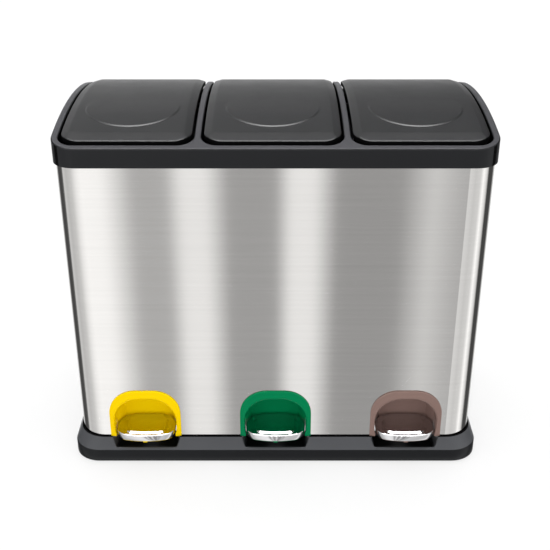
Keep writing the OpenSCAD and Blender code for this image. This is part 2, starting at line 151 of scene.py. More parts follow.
def grid(x0, x1, y0, y1, step):
    nx, ny = max(2, int((x1 - x0) / step)), max(2, int((y1 - y0) / step))
    gx, gy = np.meshgrid(np.linspace(x0, x1, nx + 1), np.linspace(y0, y1, ny + 1))
    return np.stack([gx.ravel(), gy.ravel()], 1)


def shell(outline, zfun, low, fillet, thick, pts, in_pts, margin, k=4, lip=0.4):
    """A thin moulded cover: walls from low up to the surface zfun, with a rounded
    edge, and an inner skin thick below it. Closed all round."""
    n = len(outline)
    nv = outline_normals(outline)
    lows = low(outline) if callable(low) else np.full(n, float(low))
    verts, rings = [], []

    def ring(p, z):
        start = sum(len(v) for v in verts)
        verts.append(np.column_stack([p, z]))
        rings.append(np.arange(start, start + n))

    # inner lip, outer lip, wall, rounded edge
    ring(outline + nv * (thick - lip), lows)
    ring(outline + nv * lip, lows)
    ring(outline, lows + lip)
    for i in range(k):
        t = math.pi / 2 * i / k
        p = outline + nv * fillet * (1 - math.cos(t))
        ring(p, zfun(outline + nv * fillet) * 0 + zfun(p) - fillet * (1 - math.sin(t)))
    faces = []
    for a, b in zip(rings[:-1], rings[1:]):
        for i in range(n):
            j = (i + 1) % n
            faces.append((a[i], a[j], b[j], b[i]))
    poly = outline + nv * fillet
    v, tri, rr_ = fill(poly, pts, margin)
    base = sum(len(x) for x in verts)
    verts.append(np.column_stack([v, zfun(v)]))
    top_ring = base + np.array(rr_)
    last = rings[-1]
    for i in range(n):
        j = (i + 1) % n
        faces.append((last[i], last[j], top_ring[j], top_ring[i]))
    faces += [tuple(base + t) for t in tri]
    # inner skin
    poly2 = outline + nv * thick
    v, tri, rr2 = fill(poly2, in_pts, margin * 2)
    base = sum(len(x) for x in verts)
    verts.append(np.column_stack([v, zfun(v) - thick]))
    roof_ring = base + np.array(rr2)
    start = sum(len(x) for x in verts)
    verts.append(np.column_stack([poly2, lows + lip]))
    low_ring = np.arange(start, start + n)
    first = rings[0]
    for i in range(n):
        j = (i + 1) % n
        faces.append((first[j], first[i], low_ring[i], low_ring[j]))
        faces.append((low_ring[j], low_ring[i], roof_ring[i], roof_ring[j]))
    faces += [tuple(base + t[::-1]) for t in tri]
    return np.concatenate(verts), faces


def arc(cx, cy, r, a0, a1, n):
    t = np.radians(np.linspace(a0, a1, n))
    return [(cx + r * math.cos(a), cy + r * math.sin(a)) for a in t]


def dense(points, step):
    """Adds points along the long straight stretches of a closed outline."""
    out = []
    for i, p in enumerate(points):
        q = points[(i + 1) % len(points)]
        d = math.dist(p, q)
        if d < 1e-4:
            continue
        m = max(1, int(math.ceil(d / step)))
        for j in range(m):
            out.append((p[0] + (q[0] - p[0]) * j / m, p[1] + (q[1] - p[1]) * j / m))
    return np.array(out)


def loft(rings, closed=True, wrap=False):
    """Quads between rings of equal length. wrap joins the last ring to the first."""
    n = len(rings[0])
    verts = np.concatenate(rings)
    faces = []
    m = len(rings)
    for k in range(m if wrap else m - 1):
        a, b = k * n, ((k + 1) % m) * n
        for i in range(n if closed else n - 1):
            j = (i + 1) % n
            faces.append((a + i, a + j, b + j, b + i))
    return verts, faces


def join(parts):
    verts, faces, base = [], [], 0
    for v, f in parts:
        verts.append(np.asarray(v, float))
        faces += [tuple(int(i) + base for i in q) for q in f]
        base += len(v)
    return np.concatenate(verts), faces


def prism(poly, z0, z1):
    """A closed straight prism on an outline given counter-clockwise."""
    n = len(poly)
    p = np.asarray(poly, float)
    v = np.concatenate([np.column_stack([p, np.full(n, z0)]), np.column_stack([p, np.full(n, z1)])])
    f = [(i, (i + 1) % n, n + (i + 1) % n, n + i) for i in range(n)]
    f += [tuple(range(n - 1, -1, -1)), tuple(range(n, 2 * n))]
    return v, f


def bevel(ob, width, segments=3, angle=35, clamp=True):
    m = ob.modifiers.new("Bevel", "BEVEL")
    m.width = width * 0.001
    m.segments = segments
    m.limit_method = "ANGLE"
    m.angle_limit = math.radians(angle)
    m.use_clamp_overlap = clamp
    m.harden_normals = False
    w = ob.modifiers.new("WeightedNormal", "WEIGHTED_NORMAL")
    w.keep_sharp = False
    w.weight = 60
    return ob


# ---------------------------------------------------------------- materials
def srgb(r, g, b):
    f = lambda c: (c / 255 / 12.92) if c / 255 <= 0.04045 else ((c / 255 + 0.055) / 1.055) ** 2.4
    return (f(r), f(g), f(b), 1.0)


def new_material(name):
    m = bpy.data.materials.new(name)
    m.use_nodes = True
    nt = m.node_tree
    nt.nodes.clear()
    out = nt.nodes.new("ShaderNodeOutputMaterial")
    bs = nt.nodes.new("ShaderNodeBsdfPrincipled")
    nt.links.new(bs.outputs[0], out.inputs[0])
    return m, nt, bs


def coords(nt, scale, kind="Object"):
    tc = nt.nodes.new("ShaderNodeTexCoord")
    mp = nt.nodes.new("ShaderNodeMapping")
    mp.inputs["Scale"].default_value = scale
    nt.links.new(tc.outputs[kind], mp.inputs[0])
    return mp.outputs[0]


def noise(nt, vec, scale, detail=2.0, rough=0.5):
    n = nt.nodes.new("ShaderNodeTexNoise")
    n.inputs["Scale"].default_value = scale
    n.inputs["Detail"].default_value = detail
    n.inputs["Roughness"].default_value = rough
    nt.links.new(vec, n.inputs["Vector"])
    return n.outputs[0]


def ramp(nt, fac, stops):
    r = nt.nodes.new("ShaderNodeValToRGB")
    e = r.color_ramp.elements
    while len(e) < len(stops):
        e.new(0.5)
    for el, (pos, col) in zip(e, stops):
        el.position = pos
        el.color = col if len(col) == 4 else (*col, 1.0)
    nt.links.new(fac, r.inputs[0])
    return r.outputs[0]


def spread(nt, fac, lo, hi, a, b):
    m = nt.nodes.new("ShaderNodeMapRange")
    for i, v in zip((1, 2, 3, 4), (lo, hi, a, b)):
        m.inputs[i].default_value = v
    nt.links.new(fac, m.inputs[0])
    return m.outputs[0]


def bump(nt, bs, height, strength, distance, prev=None):
    b = nt.nodes.new("ShaderNodeBump")
    b.inputs["Strength"].default_value = strength
    b.inputs["Distance"].default_value = distance
    nt.links.new(height, b.inputs["Height"])
    if prev is not None:
        nt.links.new(prev, b.inputs["Normal"])
    nt.links.new(b.outputs[0], bs.inputs["Normal"])
    return b.outputs[0]


def shade(c, k):
    return (min(1, c[0] * k), min(1, c[1] * k), min(1, c[2] * k), 1.0)


def plastic(name, colour, rough, grain=1400.0, depth=0.00004, strength=0.35, vary=0.06, spec=0.5, coat=0.0):
    """Moulded plastic: fine spark-eroded grain, slow drift in colour and gloss,
    and lighter rubbed convex edges."""
    m, nt, bs = new_material(name)
    vec = coords(nt, (1, 1, 1))
    slow = noise(nt, vec, 9.0, 3.0)
    col = ramp(nt, slow, [(0.3, shade(colour, 1 - vary)), (0.7, shade(colour, 1 + vary))])
    geo = nt.nodes.new("ShaderNodeNewGeometry")
    edge = spread(nt, geo.outputs["Pointiness"], 0.52, 0.62, 0.0, 0.35)
    mix = nt.nodes.new("ShaderNodeMix")
    mix.data_type = "RGBA"
    nt.links.new(edge, mix.inputs[0])
    nt.links.new(col, mix.inputs[6])
    mix.inputs[7].default_value = shade(tuple(c + 0.0008 for c in colour[:3]), 1.3)
    nt.links.new(mix.outputs[2], bs.inputs["Base Color"])
    fine = noise(nt, vec, grain, 2.0, 0.6)
    smear = noise(nt, coords(nt, (1, 1, 1.7)), 26.0, 4.0, 0.6)
    add = nt.nodes.new("ShaderNodeMath")
    add.operation = "MULTIPLY_ADD"
    nt.links.new(smear, add.inputs[0])
    add.inputs[1].default_value = 0.10
    nt.links.new(spread(nt, fine, 0.3, 0.7, rough - 0.07, rough - 0.03), add.inputs[2])
    nt.links.new(add.outputs[0], bs.inputs["Roughness"])
    bs.inputs["Specular IOR Level"].default_value = spec
    bs.inputs["Coat Weight"].default_value = coat
    bs.inputs["Coat Roughness"].default_value = 0.12
    bump(nt, bs, fine, strength, depth)
    return m


def metal(name, colour, rough, aniso=0.0, streak=(1, 1, 1), scale=60.0, depth=0.00002, strength=0.2, spread_r=0.08):
    m, nt, bs = new_material(name)
    bs.inputs["Metallic"].default_value = 1.0
    vec = coords(nt, streak)
    f = noise(nt, vec, scale, 5.0, 0.65)
    nt.links.new(ramp(nt, f, [(0.25, shade(colour, 0.9)), (0.75, shade(colour, 1.06))]), bs.inputs["Base Color"])
    nt.links.new(spread(nt, f, 0.25, 0.75, rough - spread_r / 2, rough + spread_r / 2), bs.inputs["Roughness"])
    bs.inputs["Anisotropic"].default_value = aniso
    bump(nt, bs, f, strength, depth)
    return m


def brushed(name):
    """Sheet steel with a fine horizontal brushed grain that runs round the shell."""
    m, nt, bs = new_material(name)
    bs.inputs["Metallic"].default_value = 1.0
    base = (0.66, 0.648, 0.632, 1.0)
    line = noise(nt, coords(nt, (5, 5, 1500)), 1.0, 6.0, 0.7)
    wide = noise(nt, coords(nt, (2.2, 2.2, 260)), 1.0, 4.0, 0.6)
    cloud = noise(nt, coords(nt, (1, 1, 1)), 5.0, 2.0)
    mixf = nt.nodes.new("ShaderNodeMath")
    mixf.operation = "MULTIPLY_ADD"
    nt.links.new(line, mixf.inputs[0])
    mixf.inputs[1].default_value = 0.6
    half = nt.nodes.new("ShaderNodeMath")
    half.operation = "MULTIPLY"
    nt.links.new(wide, half.inputs[0])
    half.inputs[1].default_value = 0.4
    nt.links.new(half.outputs[0], mixf.inputs[2])
    nt.links.new(ramp(nt, mixf.outputs[0], [(0.33, shade(base, 0.965)), (0.67, shade(base, 1.03))]), bs.inputs["Base Color"])
    r = nt.nodes.new("ShaderNodeMath")
    r.operation = "MULTIPLY_ADD"
    nt.links.new(cloud, r.inputs[0])
    r.inputs[1].default_value = 0.03
    nt.links.new(spread(nt, line, 0.3, 0.7, 0.055, 0.085), r.inputs[2])
    nt.links.new(r.outputs[0], bs.inputs["Roughness"])
    bs.inputs["Anisotropic"].default_value = 0.95
    bs.inputs["Anisotropic Rotation"].default_value = 0.25
    tan = nt.nodes.new("ShaderNodeTangent")
    tan.direction_type = "RADIAL"
    tan.axis = "Z"
    nt.links.new(tan.outputs[0], bs.inputs["Tangent"])
    bump(nt, bs, line, 0.12, 0.00002)
    return m


M = {
    "frame": plastic("frame_black", (0.0076, 0.0080, 0.0092), 0.38, spec=0.18),
    # lighter copy of the frame plastic for its up-facing top: painted light
    "frame_lit_top": plastic("painted_light_frame_black", (0.046, 0.046, 0.051), 0.40, spec=0.20),
    "plinth": plastic("plinth_black", (0.0040, 0.0045, 0.0054), 0.40, depth=0.00007, strength=0.5, spec=0.15),
    # lighter copy of the plinth plastic for its slope: painted light
    "plinth_lit_slope": plastic("painted_light_plinth_black", (0.054, 0.056, 0.061), 0.42, depth=0.00007, strength=0.5, spec=0.2),
    "lid": plastic("lid_black", (0.0096, 0.0098, 0.0106), 0.36, spec=0.36),
    # near-black copy of the black plastic for faces in shade: painted shade
    "inner": plastic("painted_shade_black", (0.0013, 0.0013, 0.0014), 0.6, spec=0.03),
    "bucket": plastic("bucket_black", (0.012, 0.012, 0.0126), 0.46, vary=0.1, spec=0.4),
    "rubber": plastic("rubber", (0.008, 0.008, 0.008), 0.8, grain=700.0, spec=0.2),
    "yellow": plastic("yellow_plastic", (0.865, 0.585, 0.0002), 0.25, grain=1100.0, depth=0.00002, strength=0.15, vary=0.015, spec=0.025, coat=0.03),
    "green": plastic("green_plastic", (0.0002, 0.182, 0.065), 0.25, grain=1100.0, depth=0.00002, strength=0.15, vary=0.03, spec=0.025, coat=0.03),
    "brown": plastic("brown_plastic", (0.212, 0.140, 0.121), 0.27, grain=1100.0, depth=0.00002, strength=0.15, vary=0.03, spec=0.04, coat=0.03),
    # brighter copies of the coloured plastics for inside the pedal recesses: painted fill light
    "yellow_lit_recess": plastic("yellow_recess_painted_light", (0.98, 0.72, 0.0002), 0.3, grain=1100.0, depth=0.00002, strength=0.15, vary=0.015, spec=0.02, coat=0.0),
    "green_lit_recess": plastic("green_recess_painted_light", (0.0002, 0.225, 0.080), 0.3, grain=1100.0, depth=0.00002, strength=0.15, vary=0.03, spec=0.02, coat=0.0),
    "brown_lit_recess": plastic("brown_recess_painted_light", (0.255, 0.168, 0.146), 0.32, grain=1100.0, depth=0.00002, strength=0.15, vary=0.03, spec=0.03, coat=0.0),
    "steel": brushed("brushed_steel"),
    "chrome": metal("polished_steel", (0.55, 0.545, 0.55), 0.06, scale=35.0, streak=(1, 2.2, 1), depth=0.000006, strength=0.08, spread_r=0.05),
    "zinc": metal("zinc_steel", (0.62, 0.63, 0.65), 0.3, scale=240.0),
    "lever": metal("galvanised_steel", (0.5, 0.505, 0.52), 0.42, scale=120.0, strength=0.35, depth=0.00005, spread_r=0.16),
}
COLOUR = {"left": "yellow", "centre": "green", "right": "brown"}


def give(ob, key, body, slot, *nodes):
    ob.data.materials.clear()
    ob.data.materials.append(M[key])
    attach(ob, body)
    if nodes:
        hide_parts(*nodes)
    return ob


# ---------------------------------------------------------------- lids
LID_Y0, LID_Y1 = -145.6, 152.0


def flat_normals(ob):
    """Wide faces set the shading, so rounded edges keep an even highlight."""
    w = ob.modifiers.new("Normals", "WEIGHTED_NORMAL")
    w.mode = "FACE_AREA"
    w.weight = 80
    w.keep_sharp = False


def smooth(t):
    t = np.clip(t, 0, 1)
    return t * t * (3 - 2 * t)


def ease(t, soft):
    """A straight slope that eases into the flat."""
    return np.where(t > soft, t - soft / 2, np.clip(t, 0, soft) ** 2 / (2 * soft))


CRES_A, CRES_B, CRES_Y = 65.0, 60.5, -50.0


def lid_surface(hw):
    def f(p):
        x, y = p[:, 0], p[:, 1]
        z = arch(y, 653.9)
        # broad bevel at the front, narrower ones at the sides, rounded where they meet
        a = 1.9 * ease(np.clip(1 - (y - LID_Y0) / 21.5, 0, 1), 0.14)
        b = 3.6 * ease(np.clip(1 - (hw - np.abs(x)) / 12.5, 0, 1), 0.2)
        z = z - (a ** 4 + b ** 4) ** 0.25
        # raised middle with a crescent step at its front
        rho = np.sqrt((x / CRES_A) ** 2 + ((y - CRES_Y) / CRES_B) ** 2)
        fade = 1 - smooth((y + 78.0) / 66.0)
        return z + 1.15 * smooth(0.5 + (1 - rho) * 60.0 / 3.0) * fade
    return f


def lid_outline(hw):
    r = 26.0
    pts = [(hw, LID_Y1 - 2), (hw - 2, LID_Y1), (-hw + 2, LID_Y1), (-hw, LID_Y1 - 2)]
    pts += arc(-hw + r, LID_Y0 + r, r, 180, 270, 17)
    pts += arc(hw - r, LID_Y0 + r, r, 270, 360, 17)
    return dense(pts, 4.0)


def lid_points(hw):
    g = grid(-hw, hw, LID_Y0, LID_Y1, 3.0)
    extra = []
    for q in np.linspace(-2.4, 2.4, 9):
        a, b = CRES_A + q, CRES_B + q
        for t in np.radians(np.arange(178, 363, 0.9)):
            extra.append((a * math.cos(t), CRES_Y + b * math.sin(t)))
    rho = np.sqrt((g[:, 0] / CRES_A) ** 2 + ((g[:, 1] - CRES_Y) / CRES_B) ** 2)
    near = (np.abs(rho - 1) * 62 < 4.4) & (g[:, 1] < CRES_Y + 3)
    band = [g[~near], np.array(extra)]
    for x in (hw - 12.4, hw - 10.4, hw - 5.5):
        band.append(np.array([(q * x, y) for y in np.arange(-124, 148, 3.0) for q in (-1, 1)]))
    for y in (LID_Y0 + 21.4, LID_Y0 + 18.6):
        band.append(np.array([(x, y) for x in np.arange(-hw + 16, hw - 15, 3.0)]))
    return np.concatenate(band)


def lid_cover(hw):
    return shell(lid_outline(hw), lid_surface(hw), lambda p: arch(p[:, 1], 644.2), 1.7, 2.4,
                 lid_points(hw), grid(-hw, hw, LID_Y0, LID_Y1, 8.0), 1.0)


def extrude_x(poly, x0, x1):
    """A closed prism along X on a (y, z) outline given counter-clockwise seen from +X."""
    n = len(poly)
    p = np.asarray(poly, float)
    v = np.concatenate([np.column_stack([np.full(n, x0), p]), np.column_stack([np.full(n, x1), p])])
    f = [(i, (i + 1) % n, n + (i + 1) % n, n + i) for i in range(n)]
    f += [tuple(range(n - 1, -1, -1)), tuple(range(n, 2 * n))]
    return v, f


def tube_x(x0, x1, y, z, r, bore, n=40, edge=0.7):
    """A barrel along X with a bore and rounded end edges."""
    prof = [(x0, bore + edge / 2), (x0, r - edge), (x0 + edge * 0.3, r - edge * 0.3), (x0 + edge, r),
            (x1 - edge, r), (x1 - edge * 0.3, r - edge * 0.3), (x1, r - edge), (x1, bore + edge / 2), (x1 - edge / 2, bore), (x0 + edge / 2, bore)]
    rings = []
    for px, pr in prof:
        t = np.linspace(0, 2 * math.pi, n, endpoint=False)
        rings.append(np.column_stack([np.full(n, px), y + pr * np.cos(t), z + pr * np.sin(t)]))
    return loft(rings, wrap=True)


def crank():
    """The lug with the slot that the push rod's pin works in."""
    a = math.radians(220)
    u, w = np.array((math.cos(a), math.sin(a))), np.array((-math.sin(a), math.cos(a)))
    o = np.array((HINGE_Y, HINGE_Z))
    at = lambda s, t: tuple(o + u * s + w * t)
    outer = [at(22.6 + 6.7 * math.cos(t), 6.7 * math.sin(t)) for t in np.radians(np.linspace(-90, 90, 17))]
    outer = outer[::1] + [(HINGE_Y + 1.0, HINGE_Z - 6.6), (HINGE_Y + 3.0, HINGE_Z), (HINGE_Y - 2, HINGE_Z + 8.0), (HINGE_Y - 24, HINGE_Z + 12.6), (HINGE_Y - 24, HINGE_Z - 6)]
    inner = [at(22.8 + 3.3 * math.cos(t), 3.3 * math.sin(t)) for t in np.radians(np.linspace(-90, 90, 9))]
    inner += [at(16.4 + 3.3 * math.cos(t), 3.3 * math.sin(t)) for t in np.radians(np.linspace(90, 270, 9))]
    return outer, inner


def plate_with_hole(outer, inner, x0, x1):
    """A flat plate across X with one hole, closed."""
    o, i = np.array(outer), np.array(inner)
    if np.sum(o[:, 0] * np.roll(o[:, 1], -1) - np.roll(o[:, 0], -1) * o[:, 1]) < 0:
        o = o[::-1]
    if np.sum(i[:, 0] * np.roll(i[:, 1], -1) - np.roll(i[:, 0], -1) * i[:, 1]) < 0:
        i = i[::-1]
    n, m = len(o), len(i)
    co = [Vector(p) for p in o] + [Vector(p) for p in i]
    ed = [(k, (k + 1) % n) for k in range(n)] + [(n + k, n + (k + 1) % m) for k in range(m)]
    r = delaunay_2d_cdt(co, ed, [], 0, 1e-7)
    v = np.array([tuple(p) for p in r[0]])
    tri = np.array(r[2])
    c = v[tri].mean(1)
    tri = tri[inside(c, o) & ~inside(c, i)]
    a, b, cc = v[tri[:, 0]], v[tri[:, 1]], v[tri[:, 2]]
    area = (b[:, 0] - a[:, 0]) * (cc[:, 1] - a[:, 1]) - (b[:, 1] - a[:, 1]) * (cc[:, 0] - a[:, 0])
    tri[area < 0] = tri[area < 0][:, ::-1]
    where = {q: k for k, org in enumerate(r[3]) for q in org}
    q = len(v)
    verts = np.concatenate([np.column_stack([np.full(q, x0), v]), np.column_stack([np.full(q, x1), v])])
    faces = [tuple(t[::-1]) for t in tri] + [tuple(q + t) for t in tri]
    for k in range(n):
        s, e = where[k], where[(k + 1) % n]
        faces.append((s, e, q + e, q + s))
    for k in range(m):
        s, e = where[n + k], where[n + (k + 1) % m]
        faces.append((e, s, q + s, q + e))
    return verts, faces


EAR = 75.0
co_, ci_ = crank()
for side, x in SIDES:
    lo, hi = OPEN[side]
    mid, hw = (lo + hi) / 2, (hi - lo) / 2 - 2.8
    ob = make(f"lid_cover_{side}", *lid_cover(hw), offset=(mid, 0, 0))
    give(ob, "lid", f"lid_{side}", "lid_plastic", f"lid_{side}")
    flat_normals(ob)
    # the lid's steep walls take the near-black copy: painted shade below the rounded edge
    ob.data.materials.append(M["inner"])
    for poly in ob.data.polygons:
        if abs(poly.normal.z) < 0.5:
            poly.material_index = 1
    # hinge barrel, crank and stiffening ribs under the lid
    hb = make(f"lid_barrel_{side}", *tube_x(-EAR + 0.4, EAR - 0.4, HINGE_Y, HINGE_Z, 7.4, 2.08), offset=(x, 0, 0))
    give(hb, "lid", f"lid_{side}", "lid_plastic")
    cr = make(f"lid_crank_{side}", *plate_with_hole(co_, ci_, -2.5, 2.5), smooth=False, offset=(x, 0, 0))
    bevel(cr, 0.5, 2)
    give(cr, "lid", f"lid_{side}", "lid_plastic")
    ribs = []
    for rx in (-55.0, 55.0):
        ys = np.linspace(-140, 138, 24)
        top = [(y, float(arch(y, 651.9))) for y in ys]
        low = [(y, float(arch(y, 647.5))) for y in ys[::-1]]
        ribs.append(extrude_x((top + low)[::-1], rx - 0.9, rx + 0.9))
    # solid strips that carry the barrel
    strip = [(143.5, 499.2), (147.5, 499.2), (147.5, 505.6), (143.5, 506.2)]
    ribs.append(extrude_x(strip, -73.8, 73.8))
    rb = make(f"lid_ribs_{side}", *join(ribs), smooth=False, offset=(x, 0, 0))
    bevel(rb, 0.3, 2)
    give(rb, "lid", f"lid_{side}", "lid_plastic")

# ---------------------------------------------------------------- top frame
FW, FD, FR = 300.0, 160.0, 34.0
T_END = math.degrees(math.acos((290.0 - (FW - FR)) / FR))


def frame_outline():
    """The rails, the front and the two bars, as one comb that is open at the back."""
    pts = arc(FW - FR, FD - FR, FR, 0, T_END, 9)
    for side in ("right", "centre", "left"):
        b, a = OPEN[side]
        if side != "right":
            pts += [(a, FD)]
        pts += arc(a - 22, -128.0, 22, 0, -90, 13)
        pts += arc(b + 22, -128.0, 22, 270, 180, 13)
        if side != "left":
            pts += [(b, FD)]
    pts += arc(-FW + FR, FD - FR, FR, 180 - T_END, 180, 9)
    pts += arc(-FW + FR, -FD + FR, FR, 180, 270, 17)
    pts += arc(FW - FR, -FD + FR, FR, 270, 360, 17)
    out = [pts[0]]
    for p in pts[1:]:
        if math.dist(p, out[-1]) > 0.02:
            out.append(p)
    return out


def frame_low(p):
    # the skirt round the outside is deeper than the walls of the openings
    x, y = np.abs(p[:, 0]), p[:, 1]
    outer = (y < -159.0) | (x > 290.5) | ((x > 265) & (y < -126) & (np.hypot(x - 266, y + 126) > 30))
    return np.where(outer, 475.0, 478.0)


fo = dense(frame_outline(), 7.0)
fv, ff = shell(fo, lambda p: arch(p[:, 1]), frame_low, 2.1, 2.6, grid(-FW, FW, -FD, FD, 6.0), grid(-FW, FW, -FD, FD, 14.0), 1.1, k=4)
ob = make("top_frame_cover", fv, ff)
give(ob, "frame", "cabinet", "black_plastic", "top_frame")
flat_normals(ob)
ob.data.materials.append(M["inner"])
ob.data.materials.append(M["frame_lit_top"])
# walls inside the openings are in the dark, so they take the near-black copy as painted shade; the up-facing top takes
# a lighter copy of the plastic: painted light
for poly in ob.data.polygons:
    c = poly.center * 1000
    edge = float(arch(np.array([c.y - YO]))[0]) - 1.5
    deep = c.z < edge and abs(c.x) < 291.5 and c.y - YO > -151.5
    if deep:
        poly.material_index = 1
    elif poly.normal.z > 0.9:
        poly.material_index = 2


def in_corner(x0, x1, y0, y1):
    """A rectangle's outline, cut back to the steel's inside at the rear corners."""
    pts = [(x0, y0), (x1, y0)]
    cx, cy, r = 258.0, 118.0, 38.9
    side_ = lambda x: cy + math.sqrt(max(0.0, r * r - max(0.0, abs(x) - cx) ** 2))
    n = 14
    xs = np.linspace(x1, x0, n)
    pts += [(x, min(y1, side_(x))) for x in xs]
    return pts


parts, ledges = [], []
for side, x in SIDES:
    a, b = OPEN[side]
    # front ledge that carries the bumpers
    ledges.append(prism([(a - 1, -151.0), (b + 1, -151.0), (b + 1, -143.0), (a - 1, -143.0)], 492.5, 495.0))
    # hinge tray on either side of the push rod's notch, and the strip behind the notch
    parts.append(prism(in_corner(a - 1, x - 8, 124.0, 156.9), 489.0, 491.0))
    parts.append(prism(in_corner(x + 12, b + 1, 124.0, 156.9), 489.0, 491.0))
    parts.append(prism([(x - 8.5, 152.0), (x + 12.5, 152.0), (x + 12.5, 156.9), (x - 8.5, 156.9)], 489.0, 491.0))
    # rear wall of the bucket's opening
    parts.append(prism([(a + 4, 124.0), (x - 8.2, 124.0), (x - 8.2, 126.0), (a + 4, 126.0)], 478.0, 489.5))
    parts.append(prism([(x + 12.2, 124.0), (b - 4, 124.0), (b - 4, 126.0), (x + 12.2, 126.0)], 478.0, 489.5))
# the trays and ledges sit in the dark and take the near-black copy: painted shade
ob = make("frame_trays", *join(parts), smooth=False)
bevel(ob, 0.4, 2)
give(ob, "inner", "cabinet", "black_plastic")
ob = make("frame_ledges", *join(ledges), smooth=False)
bevel(ob, 0.4, 2)
give(ob, "inner", "cabinet", "black_plastic")
# skirt round the back, from one rail's end to the other
path = arc(FW - FR, FD - FR, FR, T_END - 1.0, 90, 12)[:-1] + [(q, FD) for q in np.linspace(FW - FR, -FW + FR, 12)] + arc(-FW + FR, FD - FR, FR, 90, 180 - T_END + 1.0, 12)[1:]
P = np.array(path)
tn = np.gradient(P, axis=0)
tn /= np.linalg.norm(tn, axis=1)[:, None]
nr = np.stack([-tn[:, 1], tn[:, 0]], 1)
section = [(0.3, 475.0), (0.0, 475.3), (0.0, 490.2), (0.25, 490.75), (0.8, 491.0), (4.4, 491.0), (4.4, 489.6), (1.8, 489.6), (1.8, 475.0)]
rings = [np.column_stack([P + nr * o, np.full(len(P), z)]) for o, z in section]
v, f = loft(rings, closed=False, wrap=True)
m = len(P)
f = list(f)
f.append(tuple(k * m for k in range(len(section)))[::-1])
f.append(tuple(k * m + m - 1 for k in range(len(section))))
ob = make("frame_back_skirt", v, f, smooth=False)
give(ob, "frame", "cabinet", "black_plastic")
# ears that hold the hinge pins, and the solid ends of the bars
parts = []
for side, x in SIDES:
    for q in (-1, 1):
        cx = x + q * (EAR + 3.0)
        poly = [(HINGE_Y - 6, 490.5), (HINGE_Y + 6, 490.5)] + [(HINGE_Y + 6 * math.cos(t), HINGE_Z + 6 * math.sin(t)) for t in np.radians(np.linspace(0, 180, 21))]
        hole = [(HINGE_Y + 2.03 * math.cos(t), HINGE_Z + 2.03 * math.sin(t)) for t in np.linspace(0, 2 * math.pi, 24, endpoint=False)]
        parts.append(plate_with_hole(poly, hole, cx - 3.0, cx + 3.0))
ob = make("hinge_ears", *join(parts), smooth=False)
bevel(ob, 0.35, 2)
give(ob, "frame", "cabinet", "black_plastic")
parts = []
for bx in BARS:
    ys = np.linspace(136.0, 157.0, 10)
    poly = [(136.0, 485.0), (157.0, 485.0)] + [(y, float(arch(y)) - 2.0) for y in ys[::-1]]
    parts.append(extrude_x(poly, bx - 4.0, bx + 4.0))
# the bar ends take the near-black copy: painted shade
ob = make("bar_ends", *join(parts), smooth=False)
give(ob, "inner", "cabinet", "black_plastic")

# ---------------------------------------------------------------- plinth
def rounded_ring(w, d, r, z, xs, nc=14, ny=12):
    """Points round a rounded rectangle, counter-clockwise from the front left,
    with the front edge's inner points at the same x on every ring."""
    hw, hd = w / 2, d / 2
    p = []
    for t in np.radians(np.linspace(180, 270, nc)):
        p.append((-hw + r + r * math.cos(t), -hd + r + r * math.sin(t)))
    p += [(x, -hd) for x in xs]
    for t in np.radians(np.linspace(270, 360, nc)):
        p.append((hw - r + r * math.cos(t), -hd + r + r * math.sin(t)))
    for f in np.linspace(0, 1, ny + 2)[1:-1]:
        p.append((hw, -hd + r + (2 * hd - 2 * r) * f))
    for t in np.radians(np.linspace(0, 90, nc)):
        p.append((hw - r + r * math.cos(t), hd - r + r * math.sin(t)))
    for f in np.linspace(0, 1, 14)[1:-1]:
        p.append((hw - r - (2 * hw - 2 * r) * f, hd))
    for t in np.radians(np.linspace(90, 180, nc)):
        p.append((-hw + r + r * math.cos(t), hd - r + r * math.sin(t)))
    for f in np.linspace(0, 1, ny + 2)[1:-1]:
        p.append((-hw, hd - r - (2 * hd - 2 * r) * f))
    p = np.array(p)
    return np.column_stack([p, np.full(len(p), float(z))])


